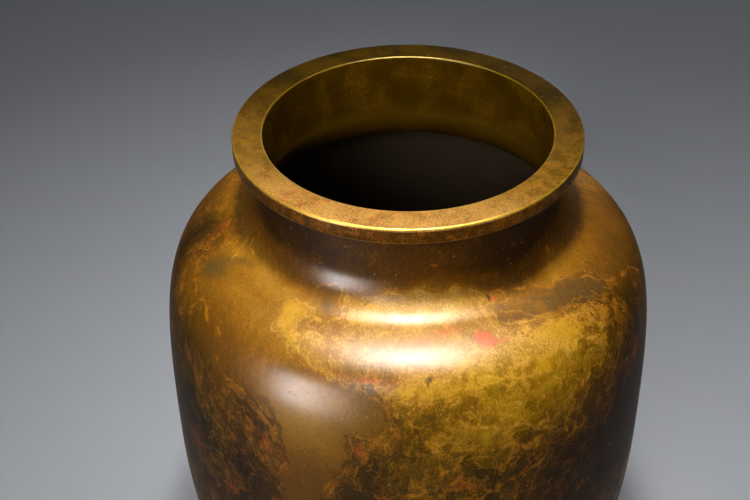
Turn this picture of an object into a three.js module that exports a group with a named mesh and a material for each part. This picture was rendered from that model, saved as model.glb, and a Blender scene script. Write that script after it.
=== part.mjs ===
import * as THREE from 'three';

// A wide-mouthed cast bronze flower vase: a flat flanged rim on a short neck, broad shoulders,
// a long full body and a low foot. The vessel is made of rings and shells that stack on spigots
// and are brazed from inside, with a plate let into the foot as its floor.
// All sizes are in millimetres. Z is up, and z = 0 is the surface that the foot stands on.

// Mouth and neck
const HEIGHT = 280;
const BORE_RADIUS = 58;
const RIM_WIDTH = 12;
const RIM_THICKNESS = 6.6;
const RIM_TOP_ROUNDING = 1;
const RIM_LOWER_ROUNDING = 0.6;
const NECK_LENGTH = 20.4;

// Cove, shoulder and body
const WALL = 4.2;
const COVE_RADIUS = 16;
const SHOULDER_START_SLOPE = THREE.MathUtils.degToRad(15);
const GIRTH_RADIUS = 105.2;
const GIRTH_HEIGHT = 139;
const BODY_END_SLOPE = THREE.MathUtils.degToRad(30);

// How far each end of a body curve holds its direction, as a share of the stretch that it spans
const SHOULDER_FULLNESS = 0.89;
const UPPER_BODY_FULLNESS = 0.81;
const LOWER_BODY_FULLNESS = 0.52;
const BODY_END_FULLNESS = 0.4;

// Foot and floor
const FOOT_RADIUS = 69;
const FOOT_HEIGHT = 10;
const FOOT_STEP = 3;
const FOOT_CONTACT_WIDTH = 8;
const FOOT_ROUNDING = 0.8;
const FLOOR_CLEARANCE = 8;
const FLOOR_THICKNESS = 4;
const LEDGE_WIDTH = 3.5;
const LEDGE_THICKNESS = 3;

// Joints between the pieces
const JOINT_GAP = 0.3;
const SPIGOT_HEIGHT = 6;
const TONGUE_THICKNESS = 1.4;
const TONGUE_HEIGHT = 3;
const BRAZE_HEIGHT = 2;
const FILLET_LEG = 2;

// Smoothness of the turned surfaces
const TURNED_SIDES = 48;
const COVE_STEPS = 7;
const SHOULDER_STEPS = 14;
const LOWER_STEPS = 11;
const ROUNDING_STEPS = 3;

const rimUnderside = HEIGHT - RIM_THICKNESS;
const mouthRadius = BORE_RADIUS + RIM_WIDTH;
const neckRadius = BORE_RADIUS + WALL;
const neckSeam = rimUnderside - NECK_LENGTH;
const bodyEndRadius = FOOT_RADIUS - FOOT_STEP;

function metal(color, roughness, metalness) {
  return new THREE.MeshStandardMaterial({ color, roughness, metalness });
}

const patinatedBronze = metal(0x8f6526, 0.34, 0.9);
const plainBronze = metal(0x6b4a22, 0.5, 0.85);
const brazingAlloy = metal(0xb08a3a, 0.45, 0.9);

// The outside of the vessel, from the neck seam down: cove, shoulder curve and lower body curve.
function coveCurve() {
  const turn = Math.PI / 2 - SHOULDER_START_SLOPE;
  const centre = neckRadius + COVE_RADIUS;
  return new THREE.EllipseCurve(centre, neckSeam, COVE_RADIUS, COVE_RADIUS, Math.PI, Math.PI + turn);
}

function shoulderCurve() {
  const start = coveCurve().getPoint(1);
  const run = (GIRTH_RADIUS - start.x) * SHOULDER_FULLNESS;
  const drop = (start.y - GIRTH_HEIGHT) * UPPER_BODY_FULLNESS;
  return new THREE.CubicBezierCurve(
    start,
    new THREE.Vector2(start.x + run, start.y - run * Math.tan(SHOULDER_START_SLOPE)),
    new THREE.Vector2(GIRTH_RADIUS, GIRTH_HEIGHT + drop),
    new THREE.Vector2(GIRTH_RADIUS, GIRTH_HEIGHT)
  );
}

function lowerBodyCurve() {
  const span = GIRTH_HEIGHT - FOOT_HEIGHT;
  const hold = span * BODY_END_FULLNESS;
  return new THREE.CubicBezierCurve(
    new THREE.Vector2(GIRTH_RADIUS, GIRTH_HEIGHT),
    new THREE.Vector2(GIRTH_RADIUS, GIRTH_HEIGHT - span * LOWER_BODY_FULLNESS),
    new THREE.Vector2(
      bodyEndRadius + hold * Math.sin(BODY_END_SLOPE),
      FOOT_HEIGHT + hold * Math.cos(BODY_END_SLOPE)
    ),
    new THREE.Vector2(bodyEndRadius, FOOT_HEIGHT)
  );
}

// Points along a curve that runs downward, moved inward by the wall where wall isn't 0.
function curvePoints(curve, steps, wall) {
  const points = [];
  for (let i = 0; i <= steps; i += 1) {
    const point = curve.getPoint(i / steps);
    const tangent = curve.getTangent(i / steps);
    points.push(new THREE.Vector2(point.x + tangent.y * wall, point.y - tangent.x * wall));
  }
  return points;
}

function roundedCorner(centreX, centreY, radius, startAngle) {
  const corner = new THREE.EllipseCurve(
    centreX, centreY, radius, radius, startAngle, startAngle - Math.PI / 2, true
  );
  return corner.getPoints(ROUNDING_STEPS);
}

function polygon(...corners) {
  return corners.map(([radius, height]) => new THREE.Vector2(radius, height));
}

// Points of a downward outline that lie above a height, ending on that height.
function outlineAbove(points, height) {
  const kept = points.filter((point) => point.y > height);
  const next = points[kept.length];
  const last = kept[kept.length - 1];
  const share = (last.y - height) / (last.y - next.y);
  kept.push(new THREE.Vector2(last.x + (next.x - last.x) * share, height));
  return kept;
}

// A spigot joint at a seam. The lower piece has the spigot, on the inner half of the wall, and the
// upper piece has the lip around it. The lip's face rests on the lower piece at the seam, and the
// brazing ring lies on the spigot, under the upper piece's ledge.
function spigotJoint(outerRadius, seamHeight) {
  const innerRadius = outerRadius - WALL;
  const spigotRadius = innerRadius + (WALL - JOINT_GAP) / 2;
  const spigotTop = seamHeight + SPIGOT_HEIGHT;
  return {
    outerRadius,
    innerRadius,
    seamHeight,
    spigotRadius,
    spigotTop,
    lipRadius: spigotRadius + JOINT_GAP,
    ledgeHeight: spigotTop + BRAZE_HEIGHT
  };
}

const neckJoint = spigotJoint(neckRadius, neckSeam);
const girthJoint = spigotJoint(GIRTH_RADIUS, GIRTH_HEIGHT);
const footJoint = spigotJoint(bodyEndRadius, FOOT_HEIGHT);

function spigotOutline(joint) {
  return polygon(
    [joint.innerRadius, joint.spigotTop],
    [joint.spigotRadius, joint.spigotTop],
    [joint.spigotRadius, joint.seamHeight]
  );
}

function lipOutline(joint) {
  return polygon(
    [joint.outerRadius, joint.seamHeight],
    [joint.lipRadius, joint.seamHeight],
    [joint.lipRadius, joint.ledgeHeight]
  );
}

// A solid turned about the Z axis from an outline that runs clockwise, seen with the axis at the left.
function turned(name, outline, material) {
  const closed = outline[0].x === 0 ? outline : [...outline, outline[0].clone()];
  const geometry = new THREE.LatheGeometry(closed.slice().reverse(), TURNED_SIDES);
  geometry.rotateX(Math.PI / 2);
  const mesh = new THREE.Mesh(geometry, material);
  mesh.name = name;
  return mesh;
}

// The flat flanged rim, with a groove in its underside that takes the neck's tongue.
function mouthRim() {
  const middle = BORE_RADIUS + WALL / 2;
  const grooveHalf = TONGUE_THICKNESS / 2 + JOINT_GAP;
  const grooveTop = rimUnderside + TONGUE_HEIGHT + JOINT_GAP;
  const topCentre = HEIGHT - RIM_TOP_ROUNDING;
  const lowerCentre = rimUnderside + RIM_LOWER_ROUNDING;
  const outline = [
    ...polygon([BORE_RADIUS, rimUnderside]),
    ...roundedCorner(BORE_RADIUS + RIM_TOP_ROUNDING, topCentre, RIM_TOP_ROUNDING, Math.PI),
    ...roundedCorner(mouthRadius - RIM_TOP_ROUNDING, topCentre, RIM_TOP_ROUNDING, Math.PI / 2),
    ...roundedCorner(mouthRadius - RIM_LOWER_ROUNDING, lowerCentre, RIM_LOWER_ROUNDING, 0),
    ...polygon(
      [middle + grooveHalf, rimUnderside],
      [middle + grooveHalf, grooveTop],
      [middle - grooveHalf, grooveTop],
      [middle - grooveHalf, rimUnderside]
    )
  ];
  return turned('mouth_rim', outline, patinatedBronze);
}

// The straight neck, with a tongue on top and a lip around the body's spigot below.
function neckCollar() {
  const middle = BORE_RADIUS + WALL / 2;
  const tongueHalf = TONGUE_THICKNESS / 2;
  const outline = [
    ...polygon(
      [BORE_RADIUS, neckJoint.ledgeHeight],
      [BORE_RADIUS, rimUnderside],
      [middle - tongueHalf, rimUnderside],
      [middle - tongueHalf, rimUnderside + TONGUE_HEIGHT],
      [middle + tongueHalf, rimUnderside + TONGUE_HEIGHT],
      [middle + tongueHalf, rimUnderside],
      [neckRadius, rimUnderside]
    ),
    ...lipOutline(neckJoint)
  ];
  return turned('neck_collar', outline, patinatedBronze);
}

// The brazing fillet in the corner between the neck and the flange of the rim.
function rimBraze() {
  const innerRadius = neckRadius + JOINT_GAP;
  const outline = polygon(
    [innerRadius, rimUnderside - FILLET_LEG],
    [innerRadius, rimUnderside],
    [innerRadius + FILLET_LEG, rimUnderside],
    [innerRadius + FILLET_LEG / 4, rimUnderside - FILLET_LEG / 4]
  );
  return turned('rim_braze', outline, brazingAlloy);
}

// The cove, the shoulder and the upper half of the body.
function upperBody() {
  const outside = [
    ...curvePoints(coveCurve(), COVE_STEPS, 0),
    ...curvePoints(shoulderCurve(), SHOULDER_STEPS, 0).slice(1, -1)
  ];
  const inside = [
    ...curvePoints(coveCurve(), COVE_STEPS, WALL),
    ...curvePoints(shoulderCurve(), SHOULDER_STEPS, WALL).slice(1)
  ];
  const outline = [
    ...outlineAbove(inside, girthJoint.ledgeHeight).reverse(),
    ...spigotOutline(neckJoint),
    ...outside,
    ...lipOutline(girthJoint)
  ];
  return turned('upper_body', outline, patinatedBronze);
}

// The lower half of the body, which narrows to the foot.
function lowerBody() {
  const outside = curvePoints(lowerBodyCurve(), LOWER_STEPS, 0).slice(0, -1);
  const inside = curvePoints(lowerBodyCurve(), LOWER_STEPS, WALL);
  const outline = [
    ...outlineAbove(inside, footJoint.ledgeHeight).slice(1).reverse(),
    ...spigotOutline(girthJoint),
    ...outside,
    ...lipOutline(footJoint)
  ];
  return turned('lower_body', outline, patinatedBronze);
}

// The foot: a band that stands on the ground, a ledge that carries the floor, and the body's spigot.
function footRing() {
  const contactInner = FOOT_RADIUS - FOOT_CONTACT_WIDTH;
  const ledgeInner = footJoint.innerRadius - JOINT_GAP - LEDGE_WIDTH;
  const outerCentre = FOOT_RADIUS - FOOT_ROUNDING;
  const outline = [
    ...polygon(
      [contactInner + FOOT_ROUNDING, 0],
      [contactInner, FOOT_ROUNDING],
      [contactInner, FLOOR_CLEARANCE - LEDGE_THICKNESS],
      [ledgeInner, FLOOR_CLEARANCE - LEDGE_THICKNESS],
      [ledgeInner, FLOOR_CLEARANCE],
      [footJoint.innerRadius, FLOOR_CLEARANCE]
    ),
    ...spigotOutline(footJoint),
    ...roundedCorner(outerCentre, FOOT_HEIGHT - FOOT_ROUNDING, FOOT_ROUNDING, Math.PI / 2),
    ...roundedCorner(outerCentre, FOOT_ROUNDING, FOOT_ROUNDING, 0)
  ];
  return turned('foot_ring', outline, patinatedBronze);
}

const plateRadius = footJoint.innerRadius - JOINT_GAP;
const plateTop = FLOOR_CLEARANCE + FLOOR_THICKNESS;
const plateStep = plateTop - BRAZE_HEIGHT;
const plateBrazeWidth = (WALL - JOINT_GAP) / 2;

// The floor of the vase, with a step round its upper edge for its brazing ring.
function basePlate() {
  const outline = polygon(
    [0, plateTop],
    [plateRadius - plateBrazeWidth - JOINT_GAP, plateTop],
    [plateRadius - plateBrazeWidth - JOINT_GAP, plateStep],
    [plateRadius, plateStep],
    [plateRadius, FLOOR_CLEARANCE],
    [0, FLOOR_CLEARANCE]
  );
  return turned('base_plate', outline, plainBronze);
}

function brazingRing(name, innerRadius, outerRadius, bottom) {
  const outline = polygon(
    [innerRadius, bottom],
    [innerRadius, bottom + BRAZE_HEIGHT],
    [outerRadius, bottom + BRAZE_HEIGHT],
    [outerRadius, bottom]
  );
  return turned(name, outline, brazingAlloy);
}

function spigotBraze(name, joint) {
  return brazingRing(name, joint.innerRadius, joint.spigotRadius, joint.spigotTop);
}

const vase = new THREE.Group();
vase.add(
  mouthRim(),
  rimBraze(),
  neckCollar(),
  spigotBraze('neck_braze', neckJoint),
  upperBody(),
  spigotBraze('girth_braze', girthJoint),
  lowerBody(),
  spigotBraze('foot_braze', footJoint),
  footRing(),
  basePlate(),
  brazingRing('floor_braze', plateRadius - plateBrazeWidth, plateRadius, plateStep)
);

export default vase;
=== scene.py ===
import math
from bisect import bisect_right

import bpy
from mathutils import Matrix, Vector


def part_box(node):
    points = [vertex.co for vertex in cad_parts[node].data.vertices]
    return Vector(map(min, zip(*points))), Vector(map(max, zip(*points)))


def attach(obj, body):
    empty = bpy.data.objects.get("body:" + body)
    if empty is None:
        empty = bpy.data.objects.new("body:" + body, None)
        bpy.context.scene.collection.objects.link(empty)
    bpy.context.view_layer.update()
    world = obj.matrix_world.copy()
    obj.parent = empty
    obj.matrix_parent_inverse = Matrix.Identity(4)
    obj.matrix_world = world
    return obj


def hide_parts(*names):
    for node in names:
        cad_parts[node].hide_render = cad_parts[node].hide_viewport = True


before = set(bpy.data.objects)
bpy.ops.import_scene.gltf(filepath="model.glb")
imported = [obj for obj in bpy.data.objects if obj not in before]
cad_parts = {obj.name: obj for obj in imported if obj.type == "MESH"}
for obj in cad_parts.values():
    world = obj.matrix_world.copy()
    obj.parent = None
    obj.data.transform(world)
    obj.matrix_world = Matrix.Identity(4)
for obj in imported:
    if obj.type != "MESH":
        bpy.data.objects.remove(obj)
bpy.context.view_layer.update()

# A bronze flower vase with a mottled golden-brown patina. Lengths are in metres. The vase stands on
# z = 0, its axis is Z, and the side towards -Y is the one that the camera sees.
# Azimuths go round the axis in degrees, from 0 at -Y towards +X. An arc is the distance in
# millimetres down the outside of the vase, from the underside of the rim.
MM = 0.001

rim_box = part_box("mouth_rim")
neck_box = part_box("neck_collar")
upper_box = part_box("upper_body")
lower_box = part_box("lower_body")
foot_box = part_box("foot_ring")
plate_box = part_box("base_plate")

HEIGHT = rim_box[1].z
MOUTH_RADIUS = rim_box[1].x
RIM_UNDERSIDE = rim_box[0].z
NECK_RADIUS = neck_box[1].x
NECK_SEAM = neck_box[0].z
GIRTH_RADIUS = upper_box[1].x
GIRTH_HEIGHT = upper_box[0].z
FOOT_RADIUS = foot_box[1].x
FOOT_HEIGHT = lower_box[0].z
PLATE_RADIUS = plate_box[1].x
PLATE_BOTTOM = plate_box[0].z
PLATE_TOP = plate_box[1].z

WALL = 4.2 * MM
RIM_TOP_ROUNDING = 1.0 * MM
RIM_LOWER_ROUNDING = 0.6 * MM
COVE_RADIUS = 16 * MM
SHOULDER_START_SLOPE = math.radians(15)
BODY_END_SLOPE = math.radians(30)
SHOULDER_FULLNESS = 0.89
UPPER_BODY_FULLNESS = 0.81
LOWER_BODY_FULLNESS = 0.52
BODY_END_FULLNESS = 0.4
FOOT_STEP = 3 * MM
FOOT_CONTACT_WIDTH = 8 * MM
FOOT_ROUNDING = 0.8 * MM
LEDGE_WIDTH = 3.5 * MM
LEDGE_THICKNESS = 3 * MM
JOINT_GAP = 0.3 * MM
SPIGOT_HEIGHT = 6 * MM
TONGUE_THICKNESS = 1.4 * MM
TONGUE_HEIGHT = 3 * MM
BRAZE_HEIGHT = 2 * MM
FILLET_LEG = 2 * MM
PLATE_CHAMFER = 0.3 * MM

BORE_RADIUS = NECK_RADIUS - WALL
BODY_END_RADIUS = FOOT_RADIUS - FOOT_STEP
PLATE_BRAZE_INNER = PLATE_RADIUS - (WALL - JOINT_GAP) / 2

TURNED_SIDES = 288
CURVE_STEPS = 72
COVE_STEPS = 24
ROUNDING_STEPS = 6
STRAIGHT_STEPS = 6
SAME_PLACE = 0.0001 * MM
SHARP_EDGE = math.radians(35)

# Finishes: the index of each material on a turned piece
OUTSIDE, INSIDE, HIDDEN = 0, 1, 2


# Outlines are lists of (radius, height), in the half plane of the axis.
def arc(centre, radius, start, end, steps=ROUNDING_STEPS):
    """Points on a circular arc, from one angle in degrees to another."""
    points = []
    for i in range(steps + 1):
        angle = math.radians(start + (end - start) * i / steps)
        points.append((centre[0] + radius * math.cos(angle), centre[1] + radius * math.sin(angle)))
    return points


def bezier(corners, steps):
    """Points on a cubic Bezier curve."""
    points = []
    for i in range(steps + 1):
        t = i / steps
        shares = ((1 - t) ** 3, 3 * (1 - t) ** 2 * t, 3 * (1 - t) * t ** 2, t ** 3)
        points.append(tuple(sum(w * c[k] for w, c in zip(shares, corners)) for k in (0, 1)))
    return points


def straight(start, end, steps=STRAIGHT_STEPS):
    """Points on a straight line."""
    run, rise = end[0] - start[0], end[1] - start[1]
    return [(start[0] + run * i / steps, start[1] + rise * i / steps) for i in range(steps + 1)]


def moved_inward(points, distance):
    """A downward outline, moved towards the inside of the vase by a wall."""
    moved = []
    for i, (radius, height) in enumerate(points):
        before = points[max(i - 1, 0)]
        after = points[min(i + 1, len(points) - 1)]
        along = Vector((after[0] - before[0], after[1] - before[1])).normalized()
        moved.append((radius + along.y * distance, height - along.x * distance))
    return moved


def part_above(points, height):
    """The part of a downward outline that lies above a height, ending on it."""
    kept = [point for point in points if point[1] > height]
    last, following = kept[-1], points[len(kept)]
    share = (last[1] - height) / (last[1] - following[1])
    return kept + [(last[0] + (following[0] - last[0]) * share, height)]


def cove():
    turn = 90 - math.degrees(SHOULDER_START_SLOPE)
    return arc((NECK_RADIUS + COVE_RADIUS, NECK_SEAM), COVE_RADIUS, 180, 180 + turn, COVE_STEPS)


def shoulder():
    start = cove()[-1]
    run = (GIRTH_RADIUS - start[0]) * SHOULDER_FULLNESS
    drop = (start[1] - GIRTH_HEIGHT) * UPPER_BODY_FULLNESS
    start_handle = (start[0] + run, start[1] - run * math.tan(SHOULDER_START_SLOPE))
    end_handle = (GIRTH_RADIUS, GIRTH_HEIGHT + drop)
    return bezier((start, start_handle, end_handle, (GIRTH_RADIUS, GIRTH_HEIGHT)), CURVE_STEPS)


def lower_curve():
    span = GIRTH_HEIGHT - FOOT_HEIGHT
    hold = span * BODY_END_FULLNESS
    start = (GIRTH_RADIUS, GIRTH_HEIGHT)
    start_handle = (GIRTH_RADIUS, GIRTH_HEIGHT - span * LOWER_BODY_FULLNESS)
    end = (BODY_END_RADIUS, FOOT_HEIGHT)
    end_handle = (
        end[0] + hold * math.sin(BODY_END_SLOPE),
        end[1] + hold * math.cos(BODY_END_SLOPE),
    )
    return bezier((start, start_handle, end_handle, end), CURVE_STEPS)


class Joint:
    """A spigot joint at a seam: the lower piece's spigot is on the inner half of the wall."""

    def __init__(self, outer_radius, seam):
        self.outer_radius = outer_radius
        self.inner_radius = outer_radius - WALL
        self.seam = seam
        self.spigot_radius = self.inner_radius + (WALL - JOINT_GAP) / 2
        self.spigot_top = seam + SPIGOT_HEIGHT
        self.lip_radius = self.spigot_radius + JOINT_GAP
        self.ledge = self.spigot_top + BRAZE_HEIGHT

    def spigot(self):
        radius, top = self.spigot_radius, self.spigot_top
        return [(self.inner_radius, top), (radius, top), (radius, self.seam)]

    def lip(self):
        radius, seam = self.lip_radius, self.seam
        return [(self.outer_radius, seam), (radius, seam), (radius, self.ledge)]


neck_joint = Joint(NECK_RADIUS, NECK_SEAM)
girth_joint = Joint(GIRTH_RADIUS, GIRTH_HEIGHT)
foot_joint = Joint(BODY_END_RADIUS, FOOT_HEIGHT)


def shown(name, data):
    """An object of the scene with a mesh, a lamp or a camera in it."""
    result = bpy.data.objects.new(name, data)
    bpy.context.scene.collection.objects.link(result)
    return result


def turned(name, faces, materials):
    """A piece turned about the axis from an outline that runs clockwise, the axis at its left.
    Each row of faces is a part of the outline and the finish of the faces that its points start.
    Where two points fall together, the later one's finish counts."""
    outline = [(*point, finish) for part, finish in faces for point in part]
    following = outline[1:] + outline[:1]
    points = [p for p, q in zip(outline, following) if math.dist(p[:2], q[:2]) > SAME_PLACE]
    on_axis = [p[0] == 0 for p in points]
    vertices, rings = [], []
    for (radius, height, _), pole in zip(points, on_axis):
        ring = []
        for side in range(1 if pole else TURNED_SIDES):
            angle = 2 * math.pi * side / TURNED_SIDES
            ring.append(len(vertices))
            vertices.append((radius * math.cos(angle), radius * math.sin(angle), height))
        rings.append(ring * TURNED_SIDES if pole else ring)
    polygons, finishes = [], []
    for i, (_, _, finish) in enumerate(points):
        above, below = rings[i], rings[(i + 1) % len(points)]
        if on_axis[i] and on_axis[(i + 1) % len(points)]:
            continue
        for side in range(TURNED_SIDES):
            beside = (side + 1) % TURNED_SIDES
            corners = (above[side], below[side], below[beside], above[beside])
            polygons.append(tuple(dict.fromkeys(corners)))
            finishes.append(finish)
    mesh = bpy.data.meshes.new(name)
    mesh.from_pydata(vertices, [], polygons)
    for material in materials:
        mesh.materials.append(material)
    mesh.polygons.foreach_set("material_index", finishes)
    mesh.polygons.foreach_set("use_smooth", [True] * len(polygons))
    mesh.set_sharp_from_angle(angle=SHARP_EDGE)
    mesh.update()
    piece = shown(name, mesh)
    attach(piece, "root")
    return piece


# The outside from the underside of the rim to the foot, and the distance down it to each point
outside = (
    straight((NECK_RADIUS, RIM_UNDERSIDE), (NECK_RADIUS, NECK_SEAM))
    + cove()[1:]
    + shoulder()[1:]
    + lower_curve()[1:]
)
arcs = [0.0]
for a, b in zip(outside, outside[1:]):
    arcs.append(arcs[-1] + math.dist(a, b))


def on_surface(azimuth, arc_mm):
    """A place on the outside, with a matrix whose columns point round it, down it and out of it."""
    distance = arc_mm * MM
    i = min(bisect_right(arcs, distance), len(arcs) - 1)
    a, b = outside[i - 1], outside[i]
    share = (distance - arcs[i - 1]) / (arcs[i] - arcs[i - 1])
    radius, height = (a[k] + (b[k] - a[k]) * share for k in (0, 1))
    turn = math.radians(azimuth)
    out = Vector((math.sin(turn), -math.cos(turn), 0))
    round_axis = Vector((math.cos(turn), math.sin(turn), 0))
    slope = Vector((b[0] - a[0], b[1] - a[1])).normalized()
    down = out * slope.x + Vector((0, 0, slope.y))
    normal = round_axis.cross(down)
    return out * radius + Vector((0, 0, height)), Matrix((round_axis, down, normal)).transposed()


def colour(red, green, blue):
    """A display colour, 0 to 255, as the linear one that the shaders take."""
    def linear(level):
        share = level / 255
        return share / 12.92 if share <= 0.04045 else ((share + 0.055) / 1.055) ** 2.4
    return linear(red), linear(green), linear(blue), 1.0


# The patterns are drawn out along this line, towards the front and down
STREAK = Vector((0, -0.62, -0.78))
# Half the length of each oval of a vein, as a share of the way between two points
VEIN_OVERLAP = 0.62
HAZE_TINT = colour(255, 244, 230)
COAT_IOR = 2.8


class Shader:
    """The node tree of one material, with a short method for each kind of node."""

    def __init__(self, name):
        self.material = bpy.data.materials.new(name)
        self.material.use_nodes = True
        self.nodes = self.material.node_tree.nodes
        self.links = self.material.node_tree.links
        self.surface = self.nodes["Principled BSDF"]
        self.place = self.nodes.new("ShaderNodeTexCoord").outputs["Object"]

    def put(self, socket, value):
        if isinstance(value, bpy.types.NodeSocket):
            self.links.new(value, socket)
        else:
            socket.default_value = value

    def make(self, kind, inputs, **settings):
        node = self.nodes.new(kind)
        for key, value in settings.items():
            setattr(node, key, value)
        for key, value in inputs.items():
            self.put(node.inputs[key], value)
        return node

    def math(self, operation, *values):
        return self.make("ShaderNodeMath", dict(enumerate(values)), operation=operation).outputs[0]

    def times(self, first, *others):
        for other in others:
            first = self.math("MULTIPLY", first, other)
        return first

    def total(self, weights, start=None, **values):
        """A start plus each value times the weight of its name."""
        result = weights["start"] if start is None else start
        for name, value in values.items():
            result = self.math("MULTIPLY_ADD", value, weights[name], result)
        return result

    def without(self, value):
        """1 where a value is 0, and 0 where it is 1."""
        return self.math("SUBTRACT", 1.0, value)

    def centred(self, pattern):
        """A pattern from 0 to 1, as one from -0.5 to 0.5."""
        return self.math("SUBTRACT", pattern, 0.5)

    def most(self, first, *others):
        """The greatest of some values."""
        for other in others:
            first = self.math("MAXIMUM", first, other)
        return first

    def vector(self, operation, *values, output="Vector"):
        node = self.make("ShaderNodeVectorMath", dict(enumerate(values)), operation=operation)
        return node.outputs[output]

    def mapped(self, place, *mapping):
        """The place as seen from a frame, given by its centre, turn and scale."""
        inputs = dict(enumerate((place, *mapping)))
        return self.make("ShaderNodeMapping", inputs, vector_type="TEXTURE").outputs[0]

    def parts(self, place):
        """The x, y and z of a place."""
        return tuple(self.make("ShaderNodeSeparateXYZ", {0: place}).outputs)

    def from_axis(self):
        """How far a place is from the axis of the vase."""
        flat = self.vector("MULTIPLY", self.place, (1.0, 1.0, 0.0))
        return self.vector("LENGTH", flat, output="Value")

    def noise(self, place, size_mm, detail=2.0, roughness=0.5, colours=False):
        """Noise from 0 to 1 whose features are about a size across."""
        inputs = {"Vector": place, "Scale": 1 / (size_mm * MM)}
        inputs.update({"Detail": detail, "Roughness": roughness})
        return self.make("ShaderNodeTexNoise", inputs).outputs["Color" if colours else "Fac"]

    def step(self, value, low, high, to_low=0.0, to_high=1.0):
        """A smooth step as a value goes from low to high."""
        inputs = dict(enumerate((value, low, high, to_low, to_high)))
        return self.make("ShaderNodeMapRange", inputs, interpolation_type="SMOOTHSTEP").outputs[0]

    def edge(self, value, name):
        """The step that EDGES gives under a name."""
        return self.step(value, *EDGES[name])

    def band(self, value, middle, half_width, strength=1.0):
        """The strength where a value is at the middle, falling to 0 at half_width from it."""
        offset = self.math("ABSOLUTE", self.math("SUBTRACT", value, middle))
        return self.step(offset, 0.0, half_width, strength, 0.0)

    def lines(self, value, name):
        """The thin lines that LINES gives under a name."""
        return self.most(*(self.band(value, *line) for line in LINES[name]))

    def over(self, share, below, above):
        """One colour over another, by a share from 0 to 1."""
        return self.make("ShaderNodeMix", {0: share, 6: below, 7: above}, data_type="RGBA").outputs[2]

    def paint(self, base, share, name):
        """A paint over a colour, by a share from 0 to 1."""
        return self.over(share, base, colour(*PAINT[name]))

    def layered(self, base, *layers, **patterns):
        """Layers over a ground, each the name of a pattern, its step and its display colour. The
        ground is a display colour too, or a socket."""
        if isinstance(base, tuple):
            base = colour(*base)
        for name, edge, paint in layers:
            base = self.over(self.step(patterns[name], *edge), base, colour(*paint))
        return base

    def over_number(self, share, below, above):
        """One number over another, by a share from 0 to 1."""
        return self.make("ShaderNodeMix", {0: share, 2: below, 3: above}, data_type="FLOAT").outputs[0]

    def ramp(self, value, tones):
        """A colour from rows of tones."""
        node = self.make("ShaderNodeValToRGB", {0: value})
        elements = node.color_ramp.elements
        elements[0].position, elements[1].position = tones[0][0], tones[-1][0]
        for position, *_ in tones[1:-1]:
            elements.new(position)
        for element, (_, *tone) in zip(elements, tones):
            element.color = colour(*tone)
        return node.outputs[0]

    def warped(self, place, size_mm, reach_mm, detail=2.0):
        """The place moved about by noise, so that what is drawn there gets wandering edges."""
        shift = self.vector("SUBTRACT", self.noise(place, size_mm, detail, colours=True), (0.5,) * 3)
        inputs = {0: shift, "Scale": reach_mm * MM * 2}
        scaled = self.make("ShaderNodeVectorMath", inputs, operation="SCALE").outputs[0]
        return self.vector("ADD", place, scaled)

    def drawn_out(self, place, times):
        """The place, on which a pattern comes out longer by so many times along the streaks."""
        turn = STREAK.to_track_quat("Z", "Y").to_euler()
        return self.mapped(place, (0, 0, 0), turn, (1, 1, times))

    def patch(self, place, azimuth, arc_mm, width, drop, turn=0.0):
        """1 in the middle of an oval on the outside, falling to 0 at its edge. Width and drop are
        its half sizes in millimetres, and turn tilts it."""
        centre, axes = on_surface(azimuth, arc_mm)
        axes = axes @ Matrix.Rotation(math.radians(turn), 3, "Z")
        scale = (width * MM, drop * MM, max(width, drop) * MM)
        inputs = {"Vector": self.mapped(place, centre, axes.to_euler(), scale)}
        return self.make("ShaderNodeTexGradient", inputs, gradient_type="SPHERICAL").outputs["Fac"]

    def field(self, place, patches, start=0.0):
        """The sum of patches, each a row of strength and what patch takes, upon a start."""
        for strength, *oval in patches:
            start = self.math("MULTIPLY_ADD", self.patch(place, *oval), strength, start)
        return start

    def veins(self, place, chains, width):
        """Thin lines on the outside, each through a row of points, as chains of narrow ovals."""
        patches = []
        for points in chains:
            for (azimuth, arc_mm), (next_azimuth, next_arc) in zip(points, points[1:]):
                here, axes = on_surface(azimuth, arc_mm)
                there, _ = on_surface(next_azimuth, next_arc)
                reach = axes.transposed() @ (there - here)
                turn = math.degrees(math.atan2(reach.y, reach.x))
                middle = ((azimuth + next_azimuth) / 2, (arc_mm + next_arc) / 2)
                patches.append((1.0, *middle, reach.length / MM * VEIN_OVERLAP, width, turn))
        return self.field(place, patches)

    def set(self, **values):
        """Values of the surface, by the names of its inputs with _ for a space."""
        for name, value in values.items():
            self.put(self.surface.inputs[name.replace("_", " ")], value)

    def finish(self, base, roughness, metallic, pattern=None, rougher=0.0, height=None, relief_mm=0.0):
        """The material. It is rougher by a share of a pattern, and has a relief by a height."""
        if pattern is not None:
            roughness = self.math("MULTIPLY_ADD", pattern, rougher, roughness)
        self.set(Base_Color=base, Roughness=roughness, Metallic=metallic)
        if height is not None:
            inputs = {"Strength": 1.0, "Distance": relief_mm * MM, "Height": height}
            normal = self.make("ShaderNodeBump", inputs).outputs[0]
            self.set(Normal=normal, Coat_Normal=normal)
        return self.material

    def wax(self, weight, roughness, haze):
        """A thin clear coat over the patina, with a haze of the patina's own around its shine."""
        self.set(Specular_IOR_Level=haze, Specular_Tint=HAZE_TINT)
        self.set(Coat_Weight=weight, Coat_Roughness=roughness, Coat_IOR=COAT_IOR)


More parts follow.
